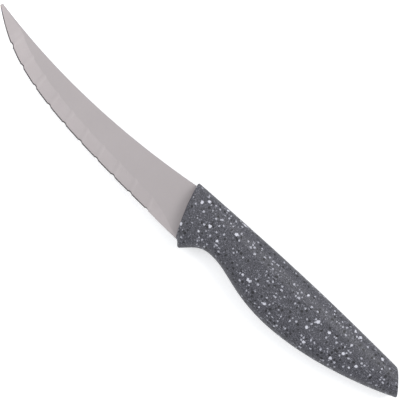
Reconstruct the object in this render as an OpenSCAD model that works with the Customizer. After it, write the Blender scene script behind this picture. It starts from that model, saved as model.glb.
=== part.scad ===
// Tomato knife: a curved stamped blade with a serrated edge, moulded into a speckled handle.
// The knife lies on its side. X runs from the tip to the butt, Y from the edge to the spine,
// and Z through the thickness. It is drawn from the upper front corner of the handle, then centred.

/* [Blade] */
// Length of the blade in front of the handle
blade_len = 122.5; // [100:0.5:150]
// Thickness of the steel sheet
blade_t = 1.5; // [1.2:0.1:2.2]
// Depth of the blade at the handle, from spine to edge
heel_depth = 24; // [20:0.5:28]
// Drop of the spine below the back of the handle
spine_drop = 1.8; // [1:0.1:3]
// Drop of the point below the back of the handle
tip_drop = 3.7; // [2:0.1:6]
// Radius of the point
tip_r = 0.75; // [0.4:0.05:1.5]
// Slope of the spine at the point, in degrees
spine_tip_angle = 9.2; // [4:0.1:12]
// Slope of the spine at the handle, in degrees
spine_heel_angle = 9.3; // [4:0.1:12]
// Slope of the edge at the point, in degrees
edge_tip_angle = 35.5; // [28:0.5:42]
// Length over which the edge follows its slope at the point
edge_tip_pull = 29; // [22:0.5:36]
// Length over which the edge follows its level run at the handle
edge_heel_pull = 88; // [70:1:95]

/* [Grind] */
// Width of the taper ground on both faces along the edge
taper_w = 6.9; // [5:0.1:9]
// Thickness that the taper leaves at the edge
taper_edge_t = 0.45; // [0.3:0.05:0.8]
// Length over which the taper runs out before the handle
taper_fade = 23; // [12:1:30]
// Width of the sharpening bevel, ground on the upper face only
bevel_w = 0.55; // [0.4:0.05:1]
// Thickness of steel left at the cutting edge
edge_land = 0.06; // [0.04:0.01:0.12]
// Length of plain unsharpened edge in front of the handle
plain_heel = 17; // [10:0.5:30]
// Length over which the bevel runs out
bevel_fade = 4; // [2:0.5:8]

/* [Serration] */
// Length of smooth edge from the point to the middle of the first scallop
scallop_start = 19.3; // [12:0.1:30]
// Distance between scallops along the edge
scallop_pitch = 10.9; // [9:0.1:14]
// Depth of a scallop
scallop_depth = 0.55; // [0.3:0.05:0.8]
// Width of a scallop along the edge
scallop_w = 3.1; // [2.4:0.1:4]
// Fine teeth between two scallops
teeth_per_run = 8; // [5:1:10]
// Depth of a fine tooth
tooth_depth = 0.2; // [0.1:0.02:0.3]

/* [Tang] */
// Depth of the full blade inside the handle
root_in = 4; // [2.5:0.5:5]
// Distance of the tang's upper side below the back of the handle
tang_drop = 5.5; // [5:0.1:7]
// Thickness of the tang
tang_t = 1.4; // [1:0.1:1.5]
// Width of the tang behind the blade
tang_w = 11; // [8:0.5:12]
// Width of the tang at its end
tang_end_w = 8; // [6:0.5:10]
// Length of the tang inside the handle
tang_len = 84; // [60:1:95]
// Diameter of the two anchor holes
anchor_d = 4.5; // [3:0.1:5]
// Distance of the first anchor hole from the front of the handle
anchor_x = 30; // [25:1:36]
// Distance between the anchor holes
anchor_gap = 42; // [25:1:45]
// Clearance all round between the tang and the moulding
tang_fit = 0.05; // [0.02:0.01:0.2]

/* [Handle] */
// Length of the handle along its back
handle_len = 124.4; // [110:0.5:140]
// Thickness of the handle between its flat sides
handle_t = 17; // [14:0.5:20]
// Crown that the flat sides take off each side of the rounded section
flat_cut = 0.3; // [0.15:0.05:0.6]
// Thickness lost at the front end
front_thin = 1.6; // [0:0.1:4]
// Thickness lost at the butt
butt_thin = 2.2; // [0:0.1:4]
// Rise of the back at the butt over the front corner
butt_rise = 1.9; // [0:0.1:4]
// Slope of the back at the front corner, in degrees
back_angle = 2.6; // [0:0.1:5]
// Set-back of the lower end of the front face behind its upper corner
front_lean = 9.9; // [7:0.1:12]
// Crown of the front face towards the point
front_crown = 1; // [0:0.1:2]
// Width of the ledge below the blade's edge
ledge_w = 1.2; // [0.8:0.1:2]
// Drop of the finger guard below the ledge
guard_drop = 2.5; // [1.5:0.1:4]
// Rounding of the guard's corner
guard_r = 0.6; // [0.3:0.1:1]
// Distance of the neck from the front corner
neck_x = 27.5; // [25:0.5:32]
// Depth of the handle at the neck
neck_depth = 20.15; // [18.5:0.1:23]
// Distance of the belly from the front corner
belly_x = 65; // [58:0.5:72]
// Depth of the handle at the belly, below the front corner
belly_depth = 25.9; // [24:0.1:30]
// Height of the slanted butt face
butt_h = 10.4; // [8:0.1:13]
// Set-back of the lower corner of the butt behind the upper one
butt_lean = 9.3; // [5:0.1:12]
// Slope of the underside at the butt, in degrees
under_angle = 24.6; // [18:0.1:30]
// Rounding of the edges of both end faces
end_r = 0.9; // [0.4:0.1:1.5]

/* [Hidden] */

steel = [0.72, 0.69, 0.69];
granite = [0.36, 0.36, 0.39];

// A curve leaves each end along its slope for about a third of its length unless it is named above.
third = 1 / 3;
edge_steps = 64;
section_power = 2.5;
section_sides = 32;
over = 1;
tip_x = tip_r - blade_len;
tip_y = -tip_drop;
heel_y = -spine_drop - heel_depth;
heel = [front_lean, heel_y];
half_t = handle_t / 2;
butt_corner = [handle_len, butt_rise];
butt_foot = butt_corner + [butt_lean, -butt_h];

function heading(a) = [cos(a), sin(a)];
function bezier(p0, p1, p2, p3, t) =
    pow(1 - t, 3) * p0 + 3 * t * pow(1 - t, 2) * p1 + 3 * t * t * (1 - t) * p2 + pow(t, 3) * p3;
// A curve from p, heading a, to q, heading b, with a pull at each end
function sweep(p, a, m, q, b, n, t) =
    bezier(p, p + m * heading(a), q - n * heading(b), q, t);
function samples(steps) = [for (i = [0:steps]) i / steps];

// Spine and edge of the blade
tip_centre = [tip_x, tip_y];
spine_start = tip_centre + tip_r * heading(90 - spine_tip_angle);
edge_start = tip_centre - tip_r * heading(90 - edge_tip_angle);
spine_end = [0, -spine_drop];
function spine_at(t) = sweep(spine_start, -spine_tip_angle, blade_len * third,
    spine_end, spine_heel_angle, blade_len * third, t);
function edge_curve(t) = sweep(edge_start, -edge_tip_angle, edge_tip_pull,
    heel, 0, edge_heel_pull, t);

// Distance along the edge from the point, and the place on the edge at a distance
edge_ts = samples(edge_steps);
edge_runs = [for (i = 0, run = 0; i <= edge_steps;
    run = run + norm(edge_curve((i + 1) / edge_steps) - edge_curve(i / edge_steps)), i = i + 1) run];
edge_len = edge_runs[edge_steps];
edge_table = [for (i = [0:edge_steps]) [edge_runs[i], edge_ts[i]]];
function edge_t(run) = lookup(run, edge_table);
function edge_place(run) = edge_curve(edge_t(run))
    + min(run, 0) * heading(-edge_tip_angle)
    + max(run - edge_len, 0) * [1, 0];
function edge_turn(run) =
    let (step = 0.5, d = edge_place(run + step) - edge_place(run - step))
    atan2(d.y, d.x);
function inward(run) = heading(edge_turn(run) + 90);

// A swept body from rings of equal count, each ring a list of points in space
module loft(rings) {
    n = len(rings[0]);
    last = len(rings) - 1;
    sides = [for (i = [0:last - 1], j = [0:n - 1])
        let (k = (j + 1) % n, a = i * n + j, b = i * n + k, c = a + n, d = b + n)
        each [[a, c, b], [b, c, d]]];
    start = [for (j = [0:n / 2 - 1])
        let (k = n - 1 - j)
        each j + 1 == k ? [] : [[j, j + 1, k], [k, j + 1, k - 1]]];
    finish = [for (f = start) [f[2] + last * n, f[1] + last * n, f[0] + last * n]];
    polyhedron(points = [for (r = rings) each r], faces = concat(start, sides, finish));
}

// The bevel and the serration end before the plain heel
sharp_len = edge_len - plain_heel;
taper_slope = (blade_t - taper_edge_t) / 2 / taper_w;
tooth_pitch = (scallop_pitch - scallop_w) / teeth_per_run;
scallop_count = floor((sharp_len - scallop_start) / scallop_pitch) + 1;
teeth_end = scallop_start + (scallop_count - 0.5) * scallop_pitch;

// Depth cut into the edge at a distance from the point: a scallop, then a run of fine teeth
function bite(run) =
    let (
        place = run - scallop_start + scallop_w / 2,
        part = place - scallop_pitch * floor(place / scallop_pitch),
        tooth = (part - scallop_w) / tooth_pitch,
        share = tooth - floor(tooth)
    )
    place < 0 || run > teeth_end ? 0
        : part < scallop_w ? scallop_depth * sin(180 * part / scallop_w)
        : tooth_depth * sin(180 * share);
function fade(run, end, width) = 1 - pow(min(1, max(0, run - end + width) / width), 2);

// One section of the blade: spine, taper line, bevel line and edge, above and then below
function blade_ring(run) =
    let (
        spine = spine_at(run / edge_len),
        edge = edge_place(run) + bite(run) * inward(run),
        depth = norm(spine - edge),
        way = (spine - edge) / depth,
        taper = min(taper_w, 0.9 * depth) * max(0.2, fade(run, edge_len, taper_fade)),
        bevel = min(bevel_w, 0.2 * depth) * max(0.1, fade(run, sharp_len, bevel_fade)),
        top = blade_t / 2,
        edge_top = top - taper * taper_slope,
        low = edge_top - (2 * edge_top - edge_land) * max(0.02, fade(run, sharp_len, bevel_fade)),
        line = edge + taper * way,
        sharp = edge + bevel * way,
        bevel_top = edge_top + bevel * taper_slope
    )
    [[spine.x, spine.y, top], [line.x, line.y, top], [sharp.x, sharp.y, bevel_top], [edge.x, edge.y, low],
        [edge.x, edge.y, -edge_top], [sharp.x, sharp.y, -bevel_top], [line.x, line.y, -top],
        [spine.x, spine.y, -top]];
cut_step = tooth_pitch / 4;
blade_runs = concat(
    [for (run = [0:scallop_w:scallop_start - scallop_w]) run],
    [for (run = [scallop_start - scallop_w / 2:cut_step:teeth_end]) run],
    [for (i = [1:10]) teeth_end + (edge_len - teeth_end) * i / 10]);

// The blade's root and the tang, grown by a margin for the pocket in the moulding
module tang_outline(margin) {
    top = -tang_drop;
    low = top - tang_w;
    shrink = (tang_w - tang_end_w) / 2;
    difference() {
        polygon([
            [root_in, top + margin],
            [tang_len + margin, top - shrink + margin],
            [tang_len + margin, low + shrink - margin],
            [root_in, low - margin]]);
        for (i = [0:1])
            translate([anchor_x + i * anchor_gap, top - tang_w / 2])
                circle(d = anchor_d - 2 * margin, $fn = 48);
    }
}
module root_pocket(margin) {
    polygon([
        [-3 * over, -spine_drop + margin],
        [root_in + margin, -spine_drop + margin],
        [front_lean + root_in + margin, heel_y - margin],
        [front_lean - 3 * over, heel_y - margin]]);
}

module blade() {
    root = blade_ring(edge_len);
    rings = concat(
        [for (run = blade_runs) blade_ring(run)],
        [[for (q = root) q + [root_in, 0, 0]]]);
    color(steel)
    placed()
    union() {
        loft(rings);
        translate([0, 0, -tang_t / 2])
            linear_extrude(tang_t)
                tang_outline(0);
    }
}

// Back of the handle, and its underside from the ledge to the butt
function back_curve(t) = sweep([0, 0], back_angle, handle_len / 2, butt_corner, -1, handle_len * third, t);
back_table = [for (t = samples(40)) [back_curve(t).x, back_curve(t).y]];
function back_at(x) = [x, lookup(x, back_table)];

ledge = [front_lean + ledge_w, heel_y - 0.2];
guard_tip = ledge + [guard_drop, -guard_drop];
neck = [neck_x, -neck_depth];
belly = [belly_x, -belly_depth];
neck_pull = neck_x - guard_tip.x;
belly_pull = belly_x - neck_x;
butt_pull = butt_foot.x - belly_x;
under_side = concat(
    [ledge],
    [guard_tip + guard_r * 1.4 * heading(135)],
    [guard_tip + guard_r * [0, 0.6]],
    [for (i = [1:10]) sweep(guard_tip + guard_r * 1.4 * heading(45), 46, neck_pull * 0.55,
        neck, 0, neck_pull * 0.45, (i - 1) / 10)],
    [for (i = [0:11]) sweep(neck, 0, belly_pull * 0.28, belly, 0, belly_pull * 0.52, i / 12)],
    [for (i = [0:18]) sweep(belly, 0, butt_pull * 0.08, butt_foot, under_angle, butt_pull * 0.59, i / 19)]);

// Half thickness along the handle: full over most of the length, thinner at both ends
full_half = half_t + flat_cut;
function half_at(x) =
    full_half - front_thin / 2 * pow(max(0, 1 - x / 16), 2)
        - butt_thin / 2 * pow(max(0, 1 - (handle_len - x) / 45), 2);

function power(v, p) = sign(v) * pow(abs(v), p);
// One ring of the handle from a back point to an underside point, drawn in by an inset
function ring(back, foot, half, inset, crown) =
    let (
        mid = (back + foot) / 2,
        arm = (back - foot) / 2,
        share = 1 - inset / norm(arm)
    )
    [for (j = [0:section_sides - 1])
        let (
            a = (j + 0.5) * 360 / section_sides,
            c = power(cos(a), 2 / section_power) * share,
            p = mid + c * arm - [crown * (1 - c * c), 0]
        )
        [p.x, p.y, (half - inset) * power(sin(a), 2 / section_power)]];

function lean_at(x) = front_lean + (butt_lean - front_lean) * (x - front_lean) / (butt_foot.x - front_lean);
function crown_at(x) = front_crown * pow(max(0, 1 - x / 30), 2);
function body_ring(foot, inset) =
    let (x = foot.x - lean_at(foot.x))
    ring(back_at(x), foot, half_at(x), inset, crown_at(x));

// Both end faces are rounded by rings that draw in along a quarter circle
round_steps = 4;
function end_ring(foot, way, step) =
    let (a = 90 * step / round_steps)
    body_ring(foot + end_r * (1 - cos(a)) * way, end_r * (1 - sin(a)));

module handle_body() {
    rings = concat(
        [for (k = [0:round_steps]) end_ring(heel, [1, 0], k)],
        [for (foot = under_side) body_ring(foot, 0)],
        [for (k = [0:round_steps]) end_ring(butt_foot, -heading(under_angle), round_steps - k)]);
    intersection() {
        loft(rings);
        translate([-blade_len, -2 * belly_depth, -half_t])
            cube([2 * blade_len + handle_len, 4 * belly_depth, handle_t]);
    }
}

module handle() {
    color(granite)
    placed()
    difference() {
        handle_body();
        translate([0, 0, -blade_t / 2 - tang_fit])
            linear_extrude(blade_t + 2 * tang_fit)
                root_pocket(tang_fit);
        translate([0, 0, -tang_t / 2 - tang_fit])
            linear_extrude(tang_t + 2 * tang_fit)
                tang_outline(tang_fit);
    }
}

// The whole knife is centred on its outline and lies with the flat of the handle at Z = 0
top_y = max([for (p = back_table) p[1]]);
low_y = min([for (p = under_side) p.y]);
mid_x = (butt_foot.x - blade_len) / 2;
mid_y = (top_y + low_y) / 2;
module placed() {
    translate([-mid_x, -mid_y, half_t])
        children();
}

blade();
handle();
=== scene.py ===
"""Tomato knife seen from straight above on a white ground: satin steel blade, speckled stone-look handle."""
import math

import bpy
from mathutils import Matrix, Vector

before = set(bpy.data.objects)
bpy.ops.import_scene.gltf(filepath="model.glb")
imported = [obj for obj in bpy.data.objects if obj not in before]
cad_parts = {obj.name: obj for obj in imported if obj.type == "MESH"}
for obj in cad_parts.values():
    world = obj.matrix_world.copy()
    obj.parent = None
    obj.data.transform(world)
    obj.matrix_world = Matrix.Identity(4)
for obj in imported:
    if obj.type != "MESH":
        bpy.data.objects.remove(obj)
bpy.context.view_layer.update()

# The photograph's view, in metres and degrees
VIEW_TURN = math.radians(43.82)
VIEW_CENTRE = Vector((0.0003, 0.0075, 0.0085))
VIEW_WIDTH = 0.1834
LENS_MM = 200
SENSOR_MM = 36
NEAREST = 0.01
FARTHEST = 10.0

# The floor's half width, and the light it adds for the camera alone, so that it shows white
FLOOR_HALF = 1.5
FLOOR_TONE = (0.95, 0.95, 0.95)
FLOOR_ROUGHNESS = 0.9
FLOOR_GLOW = 0.35
SKY_TONE = (0.95, 0.97, 1.0)
SKY_STRENGTH = 0.7

# Each lamp: name, place, size in metres, and watts
LAMPS = [
    ("key", (0.35, 0.7, 0.9), 0.6, 6.0),
    ("fill", (-0.6, -0.3, 0.9), 0.8, 3.0),
]

WHITE = (1.0, 1.0, 1.0)
BLACK = (0.0, 0.0, 0.0)

# The speckled plastic. A scale is in cells a metre, so 1000 gives cells of 1 mm
GRAIN_SCALE = 2600.0
GRAIN_DARK = (0.012, 0.012, 0.016)
GRAIN_MIDDLE = (0.055, 0.054, 0.065)
GRAIN_PALE = (0.14, 0.14, 0.165)
GRAIN_BUMP = 0.00008
WOBBLE_SCALE = 1400.0
WOBBLE_REACH = 0.0011
# Each kind of fleck, in the order it is laid: scale, size in its cell, share of the cells, and colour
FLECKS = [
    (1300.0, 0.42, 0.3, (0.2, 0.2, 0.23)),
    (560.0, 0.42, 0.36, (0.014, 0.014, 0.017)),
    (700.0, 0.4, 0.3, (0.4, 0.4, 0.45)),
    (360.0, 0.33, 0.24, (0.58, 0.58, 0.64)),
]

# The satin steel. The brushing runs across the blade, as it is squeezed along it
BRUSH_STRETCH = (12.0, 1.0, 1.0)
BRUSH_SCALE = 900.0
BRUSH_BUMP = 0.00003
CLOUD_SCALE = 55.0
STEEL_DIM = (0.45, 0.41, 0.41)
STEEL_STREAK = (0.4, 0.365, 0.365)
STEEL_BRIGHT = (0.52, 0.475, 0.475)
STEEL_FLAT = (0.43, 0.395, 0.395)
# A painted reflection: the dark tone laid on the bevel and the narrow side walls, standing in for dark
# surroundings mirrored in them
STEEL_PAINTED_REFLECTION = (0.1, 0.09, 0.09)
STEEL_METALLIC = 0.75
# How squarely a face of the blade looks up or down: above the first it is the flat,
# and below the second it is the bevel or a narrow side wall, where a dark painted reflection is laid
FLAT_FACING = 0.9985
BEVEL_FACING = 0.95


def plain(colour):
    return (*colour, 1.0)


def grey(level):
    return (level, level, level)


class Nodes:
    """Short names for making and joining shader nodes."""

    def __init__(self, name):
        self.material = bpy.data.materials.new(name)
        self.material.use_nodes = True
        self.tree = self.material.node_tree
        self.shader = self.tree.nodes["Principled BSDF"]

    def add(self, kind, **values):
        node = self.tree.nodes.new(kind)
        for key, value in values.items():
            setattr(node, key, value)
        return node

    def join(self, source, target):
        self.tree.links.new(source, target)

    def place(self, stretch=(1, 1, 1)):
        where = self.add("ShaderNodeTexCoord")
        mapping = self.add("ShaderNodeMapping")
        mapping.inputs["Scale"].default_value = stretch
        self.join(where.outputs["Object"], mapping.inputs["Vector"])
        return mapping.outputs["Vector"]

    def noise(self, vector, scale, detail=3.0, roughness=0.5):
        node = self.add("ShaderNodeTexNoise")
        node.inputs["Scale"].default_value = scale
        node.inputs["Detail"].default_value = detail
        node.inputs["Roughness"].default_value = roughness
        self.join(vector, node.inputs["Vector"])
        return node.outputs["Fac"]

    def cells(self, vector, scale):
        node = self.add("ShaderNodeTexVoronoi")
        node.inputs["Scale"].default_value = scale
        self.join(vector, node.inputs["Vector"])
        return node

    def ramp(self, value, stops):
        node = self.add("ShaderNodeValToRGB")
        band = node.color_ramp
        while len(band.elements) < len(stops):
            band.elements.new(0.5)
        for element, (position, colour) in zip(band.elements, stops):
            element.position = position
            element.color = plain(colour)
        self.join(value, node.inputs["Fac"])
        return node.outputs["Color"]

    def mix(self, factor, first, second):
        node = self.add("ShaderNodeMix", data_type="RGBA")
        self.join(factor, node.inputs["Factor"])
        for socket, value in ((node.inputs[6], first), (node.inputs[7], second)):
            if isinstance(value, tuple):
                socket.default_value = plain(value)
            else:
                self.join(value, socket)
        return node.outputs[2]

    def math(self, operation, first, second):
        node = self.add("ShaderNodeMath", operation=operation)
        for socket, value in zip(node.inputs, (first, second)):
            if isinstance(value, float):
                socket.default_value = value
            else:
                self.join(value, socket)
        return node.outputs[0]

    def bump(self, height, strength, distance):
        node = self.add("ShaderNodeBump")
        node.inputs["Strength"].default_value = strength
        node.inputs["Distance"].default_value = distance
        self.join(height, node.inputs["Height"])
        self.join(node.outputs["Normal"], self.shader.inputs["Normal"])


def granite_flecks(nodes, vector, scale, size, share):
    """A mask of irregular flecks: cell centres within a size, in a share of the cells."""
    cell = nodes.cells(vector, scale)
    near = nodes.ramp(cell.outputs["Distance"], [(size * 0.75, WHITE), (size, BLACK)])
    chosen = nodes.ramp(cell.outputs["Color"], [(1.0 - share, BLACK), (1.0 - share + 0.01, WHITE)])
    return nodes.math("MULTIPLY", near, chosen)


def granite_material():
    nodes = Nodes("speckled_plastic")
    flat = nodes.place()
    wobble = nodes.add("ShaderNodeTexNoise")
    wobble.inputs["Scale"].default_value = WOBBLE_SCALE
    nodes.join(flat, wobble.inputs["Vector"])
    shift = nodes.add("ShaderNodeVectorMath", operation="MULTIPLY_ADD")
    shift.inputs[1].default_value = grey(WOBBLE_REACH)
    nodes.join(wobble.outputs["Color"], shift.inputs[0])
    nodes.join(flat, shift.inputs[2])
    where = shift.outputs[0]
    grain = nodes.noise(flat, GRAIN_SCALE, 4.0, 0.7)
    colour = nodes.ramp(grain, [(0.38, GRAIN_DARK), (0.5, GRAIN_MIDDLE), (0.62, GRAIN_PALE)])
    for scale, size, share, tone in FLECKS:
        colour = nodes.mix(granite_flecks(nodes, where, scale, size, share), colour, tone)
    nodes.join(colour, nodes.shader.inputs["Base Color"])
    rough = nodes.ramp(grain, [(0.3, grey(0.42)), (0.7, grey(0.56))])
    nodes.join(rough, nodes.shader.inputs["Roughness"])
    nodes.bump(grain, 0.18, GRAIN_BUMP)
    return nodes.material


def steel_material():
    nodes = Nodes("satin_steel")
    brushed = nodes.place(stretch=BRUSH_STRETCH)
    cloud = nodes.noise(nodes.place(), CLOUD_SCALE, 3.0)
    lines = nodes.noise(brushed, BRUSH_SCALE, 4.0, 0.6)
    tone = nodes.ramp(cloud, [(0.3, STEEL_DIM), (0.7, STEEL_BRIGHT)])
    streak = nodes.ramp(lines, [(0.3, STEEL_STREAK), (0.7, STEEL_BRIGHT)])
    half = nodes.ramp(cloud, [(0.0, grey(0.45)), (1.0, grey(0.55))])
    facing = nodes.add("ShaderNodeSeparateXYZ")
    nodes.join(nodes.add("ShaderNodeNewGeometry").outputs["True Normal"], facing.inputs["Vector"])
    upright = nodes.math("ABSOLUTE", facing.outputs["Z"], 0.0)
    flat = nodes.math("GREATER_THAN", upright, FLAT_FACING)
    # The bevel and narrow side walls are picked out here and given the dark painted reflection
    painted_reflection_mask = nodes.math("LESS_THAN", upright, BEVEL_FACING)
    satin = nodes.mix(half, tone, streak)
    colour = nodes.mix(flat, satin, nodes.mix(half, satin, STEEL_FLAT))
    nodes.join(nodes.mix(painted_reflection_mask, colour, STEEL_PAINTED_REFLECTION), nodes.shader.inputs["Base Color"])
    nodes.shader.inputs["Metallic"].default_value = STEEL_METALLIC
    rough = nodes.ramp(lines, [(0.3, grey(0.38)), (0.7, grey(0.5))])
    nodes.join(rough, nodes.shader.inputs["Roughness"])
    nodes.bump(lines, 0.06, BRUSH_BUMP)
    return nodes.material


def finish_node(name, material):
    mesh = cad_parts[name].data
    mesh.materials.clear()
    mesh.materials.append(material)


def pale_for_the_camera(nodes_tree, shader_out, target):
    """Camera rays and rays through glass see an even pale grey, and everything else sees the soft light."""
    path = nodes_tree.nodes.new("ShaderNodeLightPath")
    first = nodes_tree.nodes.new("ShaderNodeMath")
    first.operation = "MAXIMUM"
    nodes_tree.links.new(path.outputs["Is Camera Ray"], first.inputs[0])
    nodes_tree.links.new(path.outputs["Is Transmission Ray"], first.inputs[1])
    seen = nodes_tree.nodes.new("ShaderNodeBackground")
    seen.inputs["Strength"].default_value = 1.0
    blend = nodes_tree.nodes.new("ShaderNodeMixShader")
    nodes_tree.links.new(first.outputs[0], blend.inputs[0])
    nodes_tree.links.new(shader_out, blend.inputs[1])
    nodes_tree.links.new(seen.outputs[0], blend.inputs[2])
    nodes_tree.links.new(blend.outputs[0], target)


def build_world():
    world = bpy.data.worlds.new("soft_studio")
    world.use_nodes = True
    tree = world.node_tree
    soft = tree.nodes["Background"]
    soft.inputs["Color"].default_value = plain(SKY_TONE)
    soft.inputs["Strength"].default_value = SKY_STRENGTH
    pale_for_the_camera(tree, soft.outputs[0], tree.nodes["World Output"].inputs["Surface"])
    bpy.context.scene.world = world


def build_floor():
    half = FLOOR_HALF
    corners = [(-half, -half, 0), (half, -half, 0), (half, half, 0), (-half, half, 0)]
    mesh = bpy.data.meshes.new("floor")
    mesh.from_pydata(corners, [], [(0, 1, 2, 3)])
    floor = bpy.data.objects.new("floor", mesh)
    bpy.context.collection.objects.link(floor)
    nodes = Nodes("white_ground")
    nodes.shader.inputs["Base Color"].default_value = plain(FLOOR_TONE)
    nodes.shader.inputs["Roughness"].default_value = FLOOR_ROUGHNESS
    nodes.shader.inputs["Emission Color"].default_value = plain(WHITE)
    path = nodes.add("ShaderNodeLightPath")
    nodes.join(nodes.math("MULTIPLY", path.outputs["Is Camera Ray"], FLOOR_GLOW),
               nodes.shader.inputs["Emission Strength"])
    mesh.materials.append(nodes.material)


def build_lamp(name, place, size, watts):
    lamp = bpy.data.lights.new(name, "AREA")
    lamp.size = size
    lamp.energy = watts
    holder = bpy.data.objects.new(name, lamp)
    holder.location = place
    holder.rotation_euler = (VIEW_CENTRE - Vector(place)).to_track_quat("-Z", "Y").to_euler()
    bpy.context.collection.objects.link(holder)


def build_camera():
    lens = bpy.data.cameras.new("camera")
    lens.lens = LENS_MM
    lens.sensor_width = SENSOR_MM
    lens.clip_start = NEAREST
    lens.clip_end = FARTHEST
    camera = bpy.data.objects.new("camera", lens)
    distance = VIEW_WIDTH * LENS_MM / SENSOR_MM
    camera.location = VIEW_CENTRE + Vector((0, 0, distance))
    camera.rotation_euler = (0, 0, VIEW_TURN)
    bpy.context.collection.objects.link(camera)
    bpy.context.scene.camera = camera


build_camera()
build_world()
build_floor()
for lamp_values in LAMPS:
    build_lamp(*lamp_values)
finish_node("blade", steel_material())
finish_node("handle", granite_material())

bpy.context.scene.view_settings.view_transform = "Standard"
